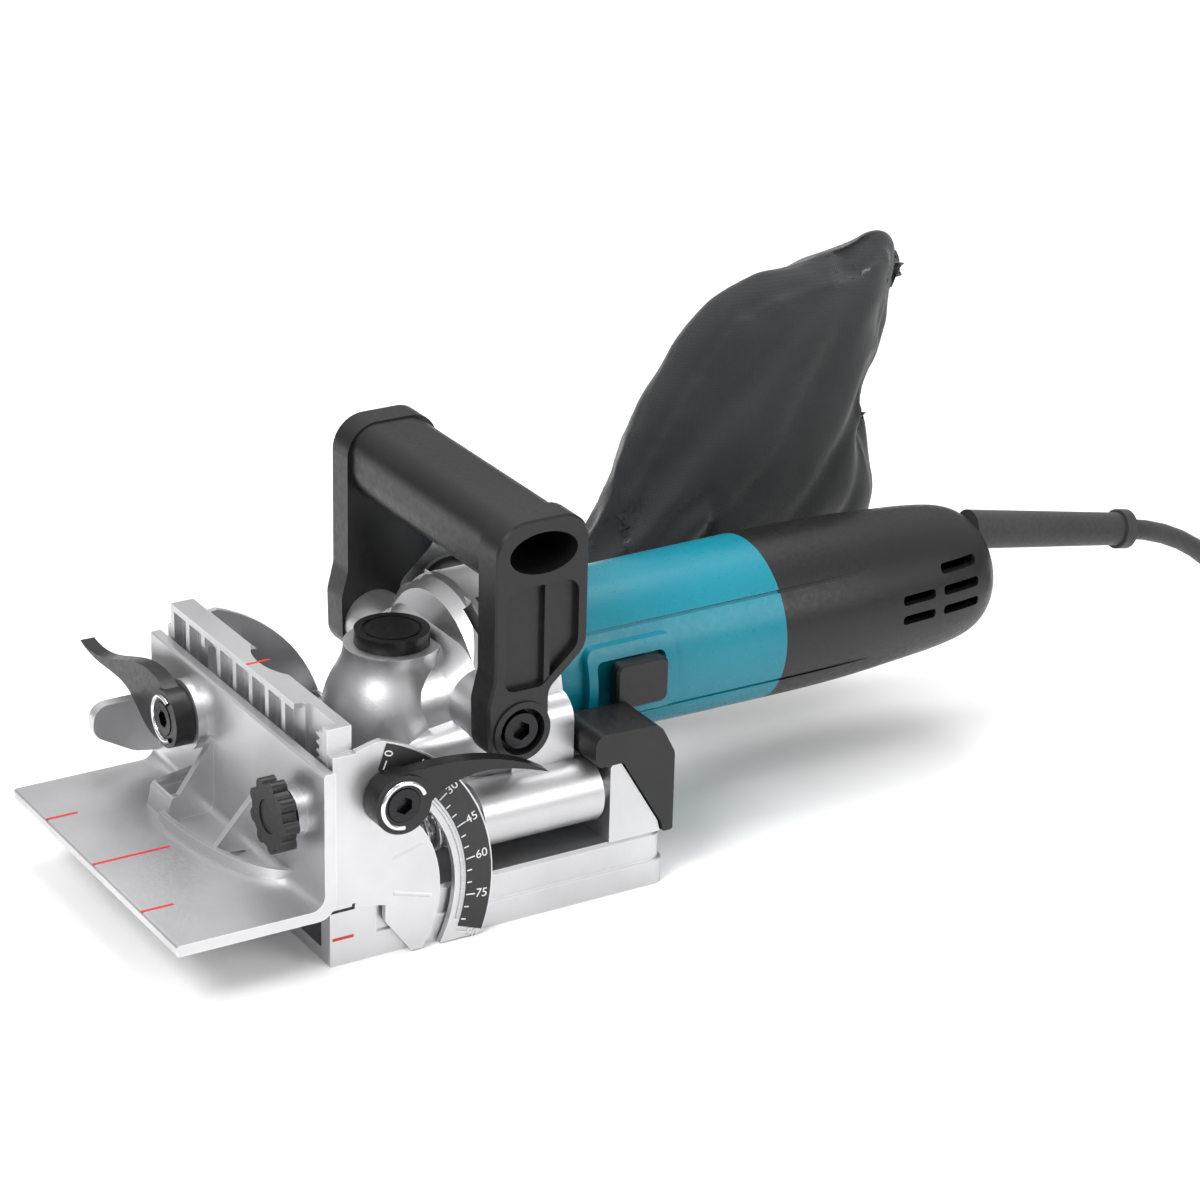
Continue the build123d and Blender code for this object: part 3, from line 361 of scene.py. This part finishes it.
def inflate(bag):
    """Blows the sack out with cloth simulation, each point moved no more than the cap."""
    start = [v.co.copy() for v in bag.data.vertices]
    group = bag.vertex_groups.new(name="tied")
    group.add([i for i, c in enumerate(start) if c.x < -0.0815 and c.y < 0.09], 1.0, "REPLACE")
    cloth = bag.modifiers.new("cloth", "CLOTH")
    settings = cloth.settings
    settings.quality = 5
    settings.use_pressure = True
    settings.uniform_pressure_force = 4.0
    settings.vertex_group_mass = "tied"
    settings.tension_stiffness = settings.compression_stiffness = 18
    settings.bending_stiffness = 0.4
    settings.effector_weights.gravity = 0.0
    scene = bpy.context.scene
    for number in range(1, CLOTH_FRAMES + 1):
        scene.frame_set(number)
    blown = bag.evaluated_get(bpy.context.evaluated_depsgraph_get())
    ends = [v.co.copy() for v in blown.data.vertices]
    bag.modifiers.remove(cloth)
    scene.frame_set(1)
    for vertex, a, b in zip(bag.data.vertices, start, ends):
        move = b - a
        vertex.co = a + (move * min(1.0, BAG_CAP / move.length) if move.length > 0 else move)


def wrinkle(bag):
    """Presses creases, soft folds and the edge seam into the blown sack."""
    moves = []
    for vertex in bag.data.vertices:
        y, z = vertex.co.y / MM, vertex.co.z / MM
        here = Vector((y, z))
        depth = 0.0
        if vertex.normal.x > 0.25:
            for run, deep, wide in CREASES:
                depth += deep * math.exp(-(span_distance(here, run) / wide) ** 2)
            edge = span_distance(here, BAG_EDGE + BAG_EDGE[:1])
            depth += 1.1 * math.exp(-((edge - 8.5) / 1.8) ** 2)
        angle, reach = math.atan2(z - 40, y - 95), math.hypot(z - 40, y - 95)
        fold = noise.noise(Vector((angle * 6.0, reach * 0.012, vertex.co.x * 12)))
        small = noise.noise(Vector((y * 0.05, z * 0.05, vertex.co.x * 30)))
        moves.append(MM * (3.0 * fold * min(1.0, reach / 60) + 1.4 * small - depth))
    for vertex, move in zip(bag.data.vertices, moves):
        vertex.co += vertex.normal * move
        vertex.co.x = min(vertex.co.x, -0.0452)


def dust_bag():
    source = NODES["dust_bag"]
    mesh = source.data.copy()
    mesh.transform(source.matrix_world)
    bag = piece_from("cloth_bag", mesh, "base", "bag_cloth", ("dust_bag",))
    remesh = bag.modifiers.new("remesh", "REMESH")
    remesh.mode = "VOXEL"
    remesh.voxel_size = 4.5 * MM
    shell = evaluated_mesh(bag)
    bag.modifiers.remove(remesh)
    made = bmesh.new()
    made.from_mesh(shell)
    thin_edges(made)
    relax(made, 3)
    made.to_mesh(shell)
    made.free()
    bag.data = shell
    inflate(bag)
    finer = bag.modifiers.new("finer", "SUBSURF")
    finer.levels = finer.render_levels = 1
    bag.data = evaluated_mesh(bag)
    bag.modifiers.remove(finer)
    wrinkle(bag)
    for face in bag.data.polygons:
        face.use_smooth = True
    finish(bag, "bag_cloth")


dust_bag()


# --- printed marks and small fittings ---------------------------------------------------------
def box_into(made, low, high, turn=Matrix()):
    """Adds a box between two corners in millimetres, turned by a matrix, to a bmesh."""
    size = [MM * (b - a) for a, b in zip(low, high)]
    centre = Vector([MM * (a + b) / 2 for a, b in zip(low, high)])
    place = turn @ Matrix.Translation(centre) @ Matrix.Diagonal((*size, 1))
    bmesh.ops.create_cube(made, size=1.0, matrix=place)


def arc_bar(name, body, slot, centre, axis, radius, thick, start, sweep):
    """A round bar bent to an arc about an axis of the frame, in millimetres and degrees."""
    curve = bpy.data.curves.new(name, "CURVE")
    curve.dimensions = "3D"
    curve.bevel_depth = thick * MM
    curve.bevel_resolution = 4
    spline = curve.splines.new("POLY")
    spline.points.add(36)
    for i, point in enumerate(spline.points):
        a = math.radians(start + sweep * i / 36)
        u, v = radius * math.cos(a), radius * math.sin(a)
        off = (0, u, v) if axis == "x" else (u, 0, v)
        point.co = (*(MM * (c + d) for c, d in zip(centre, off)), 1)
    piece_from(name, curve, body, slot)


PIVOT = (-56.4, 23.0)  # (y, z) of the guide's tilt axis
SCALE_FACE = 62.7
SCALE_INNER_R = 51.3
SCALE_NUMBER_R = 57.6
SCALE_ZERO = 68  # degrees above +Y at which the scale reads 0


def scale_marks():
    """White ticks every five degrees of tilt, longer ones every fifteen, on the angle scale."""
    made = bmesh.new()
    pivot = Matrix.Translation((0, MM * PIVOT[0], MM * PIVOT[1]))
    for step in range(19):
        turn = pivot @ Matrix.Rotation(math.radians(SCALE_ZERO - 5 * step), 4, "X")
        inner = SCALE_INNER_R + 0.3
        long = 3.4 if step % 3 == 0 else 1.8
        box_into(made, (SCALE_FACE, inner, -0.22), (SCALE_FACE + 0.08, inner + long, 0.22), turn)
    piece_from("scale_ticks", mesh_of(made, "scale_ticks"), "guide", "white_print")
    for step, angle in enumerate(range(0, 91, 15)):
        text = bpy.data.curves.new(f"scale_{angle}", "FONT")
        text.body = str(angle)
        text.size = 4.6 * MM
        text.extrude = 0.04 * MM
        text.align_x = text.align_y = "CENTER"
        held = bpy.data.objects.new(f"scale_text_{angle}", text)
        bpy.context.scene.collection.objects.link(held)
        mesh = evaluated_mesh(held)
        bpy.data.objects.remove(held)
        tilt = math.radians(SCALE_ZERO - 15 * step)
        out = Vector((0, math.cos(tilt), math.sin(tilt)))
        up = Vector((0, -math.sin(tilt), math.cos(tilt)))
        place = MM * Vector((SCALE_FACE + 0.04, *PIVOT)) + out * SCALE_NUMBER_R * MM
        axes = Matrix((out, up, Vector((1, 0, 0)))).transposed().to_4x4()
        mesh.transform(Matrix.Translation(place) @ axes)
        piece_from(f"scale_number_{angle}", mesh, "guide", "white_print")


def small_box(name, body, slot, low, high):
    made = bmesh.new()
    box_into(made, low, high)
    piece_from(name, mesh_of(made, name), body, slot)


scale_marks()
arc_bar("angle_lever_clip", "angle_clamp", "chrome", (71.6, -34, 61), "x", 8.0, 0.9, 20, 250)
arc_bar("fence_lever_clip", "fence_clamp", "chrome", (-33, -71.9, 57.7), "y", 8.0, 0.9, 60, 250)
arc_bar("sector_rim", "guide", "steel", (62.4, *PIVOT), "x", 49.8, 0.7, -17, 66)
small_box("base_side_mark", "base", "red_paint", (59.4, -54.5, 9.6), (59.55, -46.5, 10.6))
small_box("guide_top_mark", "guide", "red_paint", (-0.5, -55.8, 88.0), (0.5, -47.2, 88.12))


# --- springs ----------------------------------------------------------------------------------
# node, joint, axis (1 is Y, 2 is Z), place of the end that stays put, and how far the joint closes it
SPRINGS = (("return_springs", "plunge", 1, -0.0306, 0.0254),
           ("button_spring", "shaft_lock", 2, 0.0805, 0.003))


def shorten(name, joint, axis, fixed, travel):
    """Gives the spring a mesh of its own."""
    spring = NODES[name]
    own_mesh(spring)


for row in SPRINGS:
    shorten(*row)


# --- stage, light and camera ------------------------------------------------------------------
def stage():
    made = bmesh.new()
    bmesh.ops.create_grid(made, x_segments=1, y_segments=1, size=6)
    mesh = mesh_of(made, "studio_floor")
    floor = bpy.data.objects.new("studio_floor", mesh)
    bpy.context.scene.collection.objects.link(floor)
    s = Shader("studio_floor")
    s.put("Base Color", (0.90, 0.90, 0.90))
    s.put("Roughness", 0.6)
    mesh.materials.append(s.material)


def area_light(name, place, aim, size, power):
    data = bpy.data.lights.new(name, "AREA")
    data.size = size
    data.energy = power
    light = bpy.data.objects.new(name, data)
    bpy.context.scene.collection.objects.link(light)
    light.location = place
    light.rotation_euler = (Vector(aim) - Vector(place)).to_track_quat("-Z", "Y").to_euler()


def lights():
    world = bpy.data.worlds.new("studio")
    bpy.context.scene.world = world
    world.use_nodes = True
    tree = world.node_tree
    background = tree.nodes["Background"]
    split = tree.nodes.new("ShaderNodeSeparateXYZ")
    ramp = tree.nodes.new("ShaderNodeValToRGB")
    for element, place, value in zip(ramp.color_ramp.elements, (0.10, 0.55), (0.30, 1.0)):
        element.position = place
        element.color = (value, value, value, 1)
    tree.links.new(tree.nodes.new("ShaderNodeTexCoord").outputs["Generated"], split.inputs[0])
    tree.links.new(split.outputs["Z"], ramp.inputs["Fac"])
    tree.links.new(ramp.outputs["Color"], background.inputs["Color"])
    background.inputs["Strength"].default_value = 0.80
    area_light("key", (0.6, -1.3, 1.6), (0, 0.05, 0.05), 0.8, 30)
    area_light("fill", (1.6, 0.9, 0.9), (0, 0.1, 0.06), 1.0, 12)
    area_light("top", (-0.4, 0.3, 1.8), (0, 0.1, 0.05), 1.0, 20)


CAMERA_AT = Vector((1.0733, -0.5802, 0.6271))
AZIMUTH, ELEVATION, ROLL = (math.radians(a) for a in (59.82, 24.93, 0.81))


def camera():
    data = bpy.data.cameras.new("main")
    data.sensor_width = 36.0
    data.lens = 116.25
    data.shift_x = 0.0823
    data.shift_y = 0.0897
    made = bpy.data.objects.new("main", data)
    bpy.context.scene.collection.objects.link(made)
    bpy.context.scene.camera = made
    right = Vector((math.cos(AZIMUTH), math.sin(AZIMUTH), 0))
    ahead = Vector((-math.sin(AZIMUTH) * math.cos(ELEVATION), math.cos(AZIMUTH) * math.cos(ELEVATION),
                    -math.sin(ELEVATION)))
    up = right.cross(ahead)
    x = math.cos(ROLL) * right + math.sin(ROLL) * up
    y = -math.sin(ROLL) * right + math.cos(ROLL) * up
    made.matrix_world = Matrix.Translation(CAMERA_AT) @ Matrix((x, y, -ahead)).transposed().to_4x4()


stage()
lights()
camera()

scene = bpy.context.scene
scene.view_settings.view_transform = "Standard"
